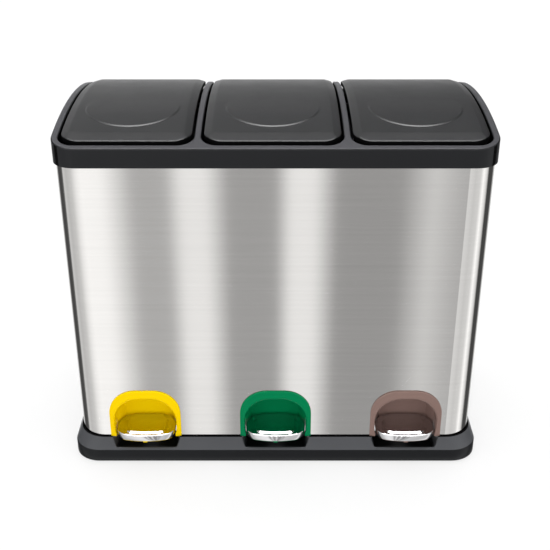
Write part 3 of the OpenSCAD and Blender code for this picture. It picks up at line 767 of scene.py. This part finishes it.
def plinth():
    xs = []
    for _, x0 in SIDES:
        u = np.concatenate([np.linspace(-53, -43, 15), np.linspace(-30, 30, 7), np.linspace(43, 53, 15)])
        xs += list(x0 + u)
    xs += [-120, -98, -76, 76, 98, 120]
    xs = sorted(xs)
    # (width, depth, radius, z) of each ring, round the section
    A = [(616.6, 336.6, 39.3, 2.0), (618.0, 338.0, 40.0, 2.7), (618.0, 338.0, 40.0, 12.0), (618.0, 338.0, 40.0, 21.2),
         (617.7, 337.7, 40.0, 21.8), (616.8, 336.8, 40.1, 22.6), (612.0, 332.0, 40.3, 28.1), (606.0, 326.0, 40.8, 34.8),
         (601.0, 321.0, 41.2, 41.0), (600.0, 320.0, 41.4, 42.3), (599.2, 319.2, 41.2, 42.7), (598.5, 318.5, 41.0, 42.3), (598.2, 318.2, 40.8, 40.0),
         (570.0, 290.0, 30.0, 40.0), (560.0, 280.0, 30.0, 39.6), (560.0, 280.0, 30.0, 37.4), (570.0, 290.0, 31.0, 37.0),
         (600.6, 320.6, 38.0, 37.0), (611.8, 331.8, 37.0, 22.0), (612.0, 332.0, 37.0, 2.4), (612.6, 332.6, 37.3, 2.0)]
    # how far in and how high each point of the section lies inside a pedal's well
    B = [(0.7, 2.0), (0.0, 2.7), (0.0, 12.0), (0.0, 20.6),
         (0.15, 21.8), (0.6, 22.6), (2.0, 25.6), (3.2, 26.2),
         (5.0, 23.6), (8.0, 18.4), (20.0, 17.0), (40.0, 17.0), (56.0, 17.0),
         (57.6, 16.6), (57.6, 15.0), (56.0, 14.5), (40.0, 14.5),
         (20.0, 14.5), (3.2, 14.4), (3.0, 2.4), (2.7, 2.0)]
    rings = []
    for (w, d, r, z), (bi, bz) in zip(A, B):
        ring = rounded_ring(w, d, r, z, xs)
        for i in range(len(ring)):
            px, py = ring[i, 0], ring[i, 1]
            if py > -HD + 60 or abs(px) > 255:
                continue
            if abs(py + d / 2) > 1e-6:
                continue
            near = min(abs(px - x0) for _, x0 in SIDES)
            k = float(smooth((52.5 - near) / 8.5))
            if k > 0:
                ring[i, 1] = py * (1 - k) + (-169.0 + bi) * k
                ring[i, 2] = z * (1 - k) + bz * k
        rings.append(ring)
    return loft(rings, wrap=True)


pv, pf = plinth()
ob = make("plinth_cover", pv, pf)
give(ob, "plinth", "cabinet", "black_plastic", "plinth")
ob.data.materials.append(M["inner"])
ob.data.materials.append(M["plinth_lit_slope"])
# the narrow lip against the steel takes the near-black copy, a painted dark line of shade; the slope takes a lighter
# copy, painted light
for poly in ob.data.polygons:
    if poly.center.z > 0.0411:
        poly.material_index = 1
    elif poly.center.z > 0.0224 and 0.2 < abs(poly.normal.z) < 0.9:
        poly.material_index = 2
parts = []
for fx in (-240.0, 0.0, 240.0):
    for fy in (-153.0, 153.0):
        t = np.linspace(0, 2 * math.pi, 40, endpoint=False)
        parts.append(prism([(fx + 13.5 * math.cos(a), fy + 13.5 * math.sin(a)) for a in t], 2.05, 5.0))
ob = make("foot_pads", *join(parts), smooth=False)
give(ob, "plinth", "cabinet", "black_plastic")

# ---------------------------------------------------------------- pedal surrounds
def door(hw, top, r, y, low=43.4, n=13):
    """Round-topped door path in the XZ plane from the bottom left up and over."""
    p = [(-hw, z) for z in np.linspace(low, top - r, 9)[:-1]]
    p += [(-hw + r - r * math.cos(t), top - r + r * math.sin(t)) for t in np.linspace(0, math.pi / 2, n)]
    p += [(x, top) for x in np.linspace(-hw + r, hw - r, 7)[1:-1]]
    p += [(hw - r + r * math.sin(t), top - r + r * math.cos(t)) for t in np.linspace(0, math.pi / 2, n)]
    p += [(hw, z) for z in np.linspace(top - r, low, 9)[1:]]
    p = np.array(p)
    return np.column_stack([p[:, 0], np.full(len(p), float(y)), p[:, 1]])


def surround():
    R = [(53.5, 122.8, 40.0, -158.3), (53.5, 122.8, 40.0, -159.7), (53.2, 122.4, 39.8, -160.3), (52.5, 121.4, 39.4, -160.6),
         (51.4, 119.0, 39.3, -160.75), (50.6, 117.0, 39.4, -160.95), (50.0, 115.6, 39.5, -161.3), (49.4, 114.3, 39.7, -161.75),
         (48.7, 113.0, 39.9, -162.0), (48.0, 111.8, 40.0, -161.85), (47.3, 110.7, 40.0, -161.2), (46.7, 109.7, 40.0, -159.9), (46.3, 109.0, 40.0, -157.6),
         (46.15, 108.7, 40.0, -152.5), (46.1, 108.6, 40.0, -146.0), (46.0, 108.5, 40.0, -139.5),
         (45.3, 108.3, 39.4, -137.2), (43.4, 108.1, 38.0, -133.4), (40.4, 107.8, 36.0, -127.5), (37.9, 107.4, 34.0, -122.6), (36.9, 106.9, 33.4, -120.6), (35.8, 106.0, 33.0, -119.3),
         (34.4, 104.8, 32.0, -118.7), (32.8, 103.2, 31.0, -118.5)]
    rings = [door(*q) for q in R]
    # the legs stand a little wider at the foot
    for q, ring in zip(R, rings):
        if 46.0 <= q[0] <= 49.5 and q[3] < -139.0:
            foot = smooth((58.0 - ring[:, 2]) / 12.0) * (q[0] - 44.95)
            ring[:, 0] -= np.sign(ring[:, 0]) * foot * 0.9
    v, f = loft(rings, closed=False)
    f = [q[::-1] for q in f]
    n = len(rings[0])
    base = (len(rings) - 1) * n
    # back wall: strips across from the left leg to the right leg
    m = n // 2
    for i in range(m):
        a, b = base + i, base + i + 1
        c, d = base + n - 1 - i, base + n - 2 - i
        if b < d:
            f.append((a, c, d, b))
        elif b == d:
            f.append((a, c, b))
    return v, f


sv, sf = surround()
for side, x in SIDES:
    ob = make(f"toe_recess_{side}", sv, sf, offset=(x, 0, 0))
    so = ob.modifiers.new("Solidify", "SOLIDIFY")
    so.thickness = 0.0016
    so.offset = -1.0
    so.use_even_offset = True
    give(ob, COLOUR[side], "cabinet", f"{COLOUR[side]}_plastic", f"pedal_surround_{side}")
    # inside the recess a brighter copy of the plastic: painted fill light
    ob.data.materials.append(M[COLOUR[side] + "_lit_recess"])
    for poly in ob.data.polygons:
        if poly.center.y > -0.140:
            poly.material_index = 1

# ---------------------------------------------------------------- pedals
def pedal_half(o=0.0):
    hw, py = 44.5, -177.0
    p = [(34.5 - 1.1 * o, -121.0 - o), (43.8 - o, -139.0 - 0.4 * o), (44.5 - o, -146.0)]
    p += arc(hw - 20, py + 23, 20 - o, 0, -74, 14)
    p += [(x - o * 0.2, py + o + 120 - math.sqrt(14400 - x * x)) for x in np.arange(27.0, 0.5, -3.0)]
    return p


def pedal_outline(o=0.0):
    h = pedal_half(o)
    pts = h[::-1] + [(-x, y) for x, y in h]     # right front centre ... back ... left
    pts = [(0.0, -177.0 + o)] + [(x, y) for x, y in h[::-1]] + [(-x, y) for x, y in h]
    q = dense(pts, 2.0)
    return q


def round_outline(q, times=2):
    for _ in range(times):
        q = 0.25 * np.roll(q, 1, 0) + 0.5 * q + 0.25 * np.roll(q, -1, 0)
    return q


def pad_outline():
    h = [(25.0, -112.0), (25.5, -121.0), (29.5, -129.0), (33.2, -140.0), (34.2, -150.0)]
    h += arc(34.2 - 15, -173.0 + 15.8, 15, 0, -78, 12)
    h += [(x, -173.4 + 150 - math.sqrt(22500 - x * x)) for x in np.arange(21.0, 0.5, -3.0)]
    pts = [(0.0, -173.4)] + h[::-1] + [(-x, y) for x, y in h]
    return dense(pts, 1.5)


PAD = pad_outline()


def pedal_z(p):
    d = edge_distance(p, PAD)
    ins = inside(p, PAD)
    s = smooth(np.where(ins, d, 0.0) / 5.0)
    x, y = p[:, 0], p[:, 1]
    crown = 0.25 * np.clip(1 - (x / 40.0) ** 2 - ((y + 148) / 34.0) ** 2, 0, 1)
    return 55.0 + 2.35 * s + crown * s


pedal_o = round_outline(pedal_outline(), 2)
pedal_v, pedal_f = shell(pedal_o, pedal_z, 45.0, 1.8, 1.2, grid(-45, 45, -178, -120, 1.1), grid(-45, 45, -178, -120, 4.0), 0.45, k=5, lip=0.25)
for side, x in SIDES:
    ob = make(f"tread_{side}", pedal_v, pedal_f, offset=(x, 0, 0))
    give(ob, "chrome", f"pedal_arm_{side}", "polished_steel", f"pedal_plate_{side}")

# ---------------------------------------------------------------- carried-over nodes
def keep(node, key, width=0.0, segments=2, smooth_=False, angle=38, planar=True):
    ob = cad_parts[node]
    ob.data.materials.clear()
    ob.data.materials.append(M[key])
    if width:
        w = ob.modifiers.new("Weld", "WELD")
        w.merge_threshold = 0.00002
        if planar:
            d = ob.modifiers.new("Planar", "DECIMATE")
            d.decimate_type = "DISSOLVE"
            d.angle_limit = math.radians(0.6)
        b = ob.modifiers.new("Bevel", "BEVEL")
        b.width = width * 0.001
        b.segments = segments
        b.limit_method = "ANGLE"
        b.angle_limit = math.radians(angle)
        n = ob.modifiers.new("WeightedNormal", "WEIGHTED_NORMAL")
        n.keep_sharp = False
        n.weight = 60
    return ob


keep("steel_body", "steel")
# the floor pan takes the near-black copy: painted shade
keep("floor_pan", "inner", 0.5)
keep("rubber_feet", "rubber", 0.5)
keep("base_screws", "zinc", 0.25)
keep("lid_bumpers", "rubber", 0.4)
keep("pivot_clips", "zinc", 0.15)
for side, _ in SIDES:
    keep(f"lid_hinge_pin_{side}", "zinc", 0.3)
    keep(f"push_rod_{side}", "zinc", 0.3)
    # the rod guides take the near-black copy: painted shade
    keep(f"rod_guide_{side}", "inner", 0.5)
    keep(f"lever_{side}", "lever", 0.5)
    keep(f"pivot_pin_{side}", "zinc", 0.4)
    keep(f"pedal_core_{side}", COLOUR[side], 0.6)
    keep(f"pedal_screws_{side}", "zinc", 0.3)
    keep(f"inner_bucket_{side}", "bucket", 0.9)

# ---------------------------------------------------------------- stage
def emission_floor():
    m = bpy.data.materials.new("floor")
    m.use_nodes = True
    nt = m.node_tree
    nt.nodes.clear()
    out = nt.nodes.new("ShaderNodeOutputMaterial")
    add = nt.nodes.new("ShaderNodeAddShader")
    d = nt.nodes.new("ShaderNodeBsdfDiffuse")
    d.inputs[0].default_value = (0.24, 0.24, 0.24, 1)
    e = nt.nodes.new("ShaderNodeEmission")
    e.inputs[0].default_value = (1, 1, 1, 1)
    e.inputs[1].default_value = 0.68
    nt.links.new(d.outputs[0], add.inputs[0])
    nt.links.new(e.outputs[0], add.inputs[1])
    nt.links.new(add.outputs[0], out.inputs[0])
    return m


me = bpy.data.meshes.new("floor")
S = 14.0
me.from_pydata([(-S, -S, 0), (S, -S, 0), (S, S, 0), (-S, S, 0)], [], [(0, 1, 2, 3)])
floor = bpy.data.objects.new("floor", me)
bpy.context.scene.collection.objects.link(floor)
me.materials.append(emission_floor())
floor.visible_glossy = False
floor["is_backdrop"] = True


def studio():
    """A pale studio: white behind, tall softboxes in front with darker gaps, bright overhead."""
    w = bpy.data.worlds.new("studio")
    bpy.context.scene.world = w
    w.use_nodes = True
    w.cycles.sampling_method = "NONE"
    nt = w.node_tree
    nt.nodes.clear()
    out = nt.nodes.new("ShaderNodeOutputWorld")
    bg = nt.nodes.new("ShaderNodeBackground")
    nt.links.new(bg.outputs[0], out.inputs[0])
    tc = nt.nodes.new("ShaderNodeTexCoord")
    sep = nt.nodes.new("ShaderNodeSeparateXYZ")
    nt.links.new(tc.outputs["Generated"], sep.inputs[0])

    def math_node(op, a, b=None, c=None):
        n = nt.nodes.new("ShaderNodeMath")
        n.operation = op
        for i, v in enumerate((a, b, c)):
            if v is None:
                continue
            if isinstance(v, (int, float)):
                n.inputs[i].default_value = v
            else:
                nt.links.new(v, n.inputs[i])
        return n.outputs[0]

    neg = math_node("MULTIPLY", sep.outputs[1], -1.0)
    phi = math_node("MULTIPLY", math_node("ARCTAN2", sep.outputs[0], neg), 180 / math.pi)
    el = math_node("MULTIPLY", math_node("ARCSINE", sep.outputs[2]), 180 / math.pi)
    grey = lambda v: (v, v, v, 1)
    # tall soft panels seen in the steel's flat front, by angle
    narrow = [(-16, 1.4), (-11, 1.4), (-9, 0.6), (-7, 0.6), (-6, 1.2), (-4.5, 1.2), (-3, 0.5), (0, 0.5), (1, 1.2), (2.5, 1.2), (4, 0.45), (8, 0.45), (10, 0.9), (12, 0.6), (16, 1.0)]
    n_ramp = ramp(nt, spread(nt, phi, -16, 16, 0, 1), [((a + 16) / 32, grey(v)) for a, v in narrow])
    wide = [(-180, 1.1), (-150, 1.0), (-134, 0.3), (-108, 0.22), (-98, 0.9), (-78, 0.72), (-56, 0.85), (-38, 1.2), (-16, 1.45), (16, 1.0), (36, 0.85), (58, 0.95), (72, 1.5), (88, 1.0), (100, 0.2), (124, 0.22), (140, 0.6), (158, 1.0), (180, 1.1)]
    w_ramp = ramp(nt, spread(nt, phi, -180, 180, 0, 1), [((a + 180) / 360, grey(v)) for a, v in wide])
    mixa = nt.nodes.new("ShaderNodeMix")
    mixa.data_type = "RGBA"
    nt.links.new(spread(nt, math_node("ABSOLUTE", phi), 14.5, 16, 0, 1), mixa.inputs[0])
    nt.links.new(n_ramp, mixa.inputs[6])
    nt.links.new(w_ramp, mixa.inputs[7])
    # upper half, by height
    up = [(0, 0.72), (8, 0.70), (18, 0.64), (30, 0.64), (42, 0.60), (52, 0.55), (62, 0.62), (72, 1.05), (90, 1.2)]
    u_grey = ramp(nt, spread(nt, el, 0, 90, 0, 1), [(a / 90, grey(v)) for a, v in up])
    tilt = nt.nodes.new("ShaderNodeMix")
    tilt.data_type = "RGBA"
    tilt.blend_type = "MULTIPLY"
    tilt.inputs[0].default_value = 1.0
    nt.links.new(u_grey, tilt.inputs[6])
    nt.links.new(ramp(nt, spread(nt, sep.outputs[0], -0.5, 0.5, 0, 1), [(0.0, grey(1.2)), (0.5, grey(0.67)), (1.0, grey(0.18))]), tilt.inputs[7])
    u_ramp = tilt.outputs[2]
    mixb = nt.nodes.new("ShaderNodeMix")
    mixb.data_type = "RGBA"
    # the back half takes the height ramp from the horizon up, the front half only overhead
    behind = spread(nt, sep.outputs[1], -0.15, 0.5, 0, 1)
    high = spread(nt, el, 35, 60, 0, 1)
    above = spread(nt, el, -2, 4, 0, 1)
    nt.links.new(math_node("MAXIMUM", high, math_node("MULTIPLY", behind, above)), mixb.inputs[0])
    nt.links.new(mixa.outputs[2], mixb.inputs[6])
    nt.links.new(u_ramp, mixb.inputs[7])
    # a broad softbox in front, above eye level, and a long one high over the front edge
    def window(v, lo, hi, soft):
        a = spread(nt, v, lo - soft, lo, 0, 1)
        b = spread(nt, v, hi, hi + soft, 1, 0)
        return math_node("MULTIPLY", a, b)

    box1 = math_node("MULTIPLY", math_node("MULTIPLY", window(el, 13, 32, 6), window(phi, -62, 62, 12)), 2.6)
    box2 = math_node("MULTIPLY", math_node("MULTIPLY", window(sep.outputs[0], -0.34, 0.34, 0.06), window(sep.outputs[1], -0.16, 0.22, 0.04)), math_node("MULTIPLY", above, 16.0))
    # the sides are dark, so the rounded corners show a dark line
    sides = math_node("MULTIPLY", math_node("MULTIPLY", window(math_node("ABSOLUTE", phi), 99, 131, 5), window(el, -60, 30, 6)), 0.8)
    boxes = math_node("ADD", box1, box2)
    addc = nt.nodes.new("ShaderNodeMix")
    addc.data_type = "RGBA"
    addc.blend_type = "ADD"
    addc.clamp_result = False
    addc.inputs[0].default_value = 1.0
    nt.links.new(mixb.outputs[2], addc.inputs[6])
    comb = nt.nodes.new("ShaderNodeCombineColor")
    for i in range(3):
        nt.links.new(boxes, comb.inputs[i])
    nt.links.new(comb.outputs[0], addc.inputs[7])
    dark = nt.nodes.new("ShaderNodeMix")
    dark.data_type = "RGBA"
    nt.links.new(sides, dark.inputs[0])
    nt.links.new(addc.outputs[2], dark.inputs[6])
    dark.inputs[7].default_value = (0.05, 0.05, 0.05, 1)
    # matt surfaces are lit by the even part of the room only
    lp = nt.nodes.new("ShaderNodeLightPath")
    even = ramp(nt, spread(nt, el, -20, 90, 0, 1), [(0.0, grey(0.74)), (0.2, grey(0.84)), (0.4, grey(1.3)), (0.55, grey(1.45)), (1.0, grey(1.8))])
    matt = nt.nodes.new("ShaderNodeMix")
    matt.data_type = "RGBA"
    nt.links.new(lp.outputs["Is Diffuse Ray"], matt.inputs[0])
    nt.links.new(dark.outputs[2], matt.inputs[6])
    nt.links.new(even, matt.inputs[7])
    # the background itself is plain white
    mixc = nt.nodes.new("ShaderNodeMix")
    mixc.data_type = "RGBA"
    nt.links.new(lp.outputs["Is Camera Ray"], mixc.inputs[0])
    nt.links.new(matt.outputs[2], mixc.inputs[6])
    mixc.inputs[7].default_value = (1.0, 1.0, 1.0, 1)
    nt.links.new(mixc.outputs[2], bg.inputs[0])
    bg.inputs[1].default_value = 1.0


studio()


def area(name, loc, target, size, power, size_y=None):
    l = bpy.data.lights.new(name, "AREA")
    l.energy = power
    l.shape = "RECTANGLE"
    l.size = size
    l.size_y = size_y or size
    o = bpy.data.objects.new(name, l)
    o.location = loc
    o.rotation_euler = (Vector(target) - Vector(loc)).to_track_quat("-Z", "Y").to_euler()
    bpy.context.scene.collection.objects.link(o)
    o.visible_camera = False
    return o


area("overhead", (0.0, 0.1, 2.3), (0, 0, 0), 1.6, 9.0)

# ---------------------------------------------------------------- camera
cam = bpy.data.cameras.new("camera")
cam.sensor_width = 36.0
cam.sensor_fit = "HORIZONTAL"
cam.lens = 968.6 / 550 * 36.0
cam.shift_x = -0.5 / 550
cam.shift_y = 0.5 / 550
cam.clip_start = 0.05
cam.clip_end = 60
co = bpy.data.objects.new("camera", cam)
co.location = (0.0, -1.3586, 0.9305)
co.rotation_euler = (math.radians(90 - 27.041), 0, 0)
bpy.context.scene.collection.objects.link(co)
bpy.context.scene.camera = co
bpy.context.scene.view_settings.view_transform = "Standard"
bpy.context.scene.view_settings.look = "None"

vis_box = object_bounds()
plain = lambda b: [[round(float(c), 5) for c in v] for v in b]
{"cad": plain(cad_box), "visual": plain(vis_box)}
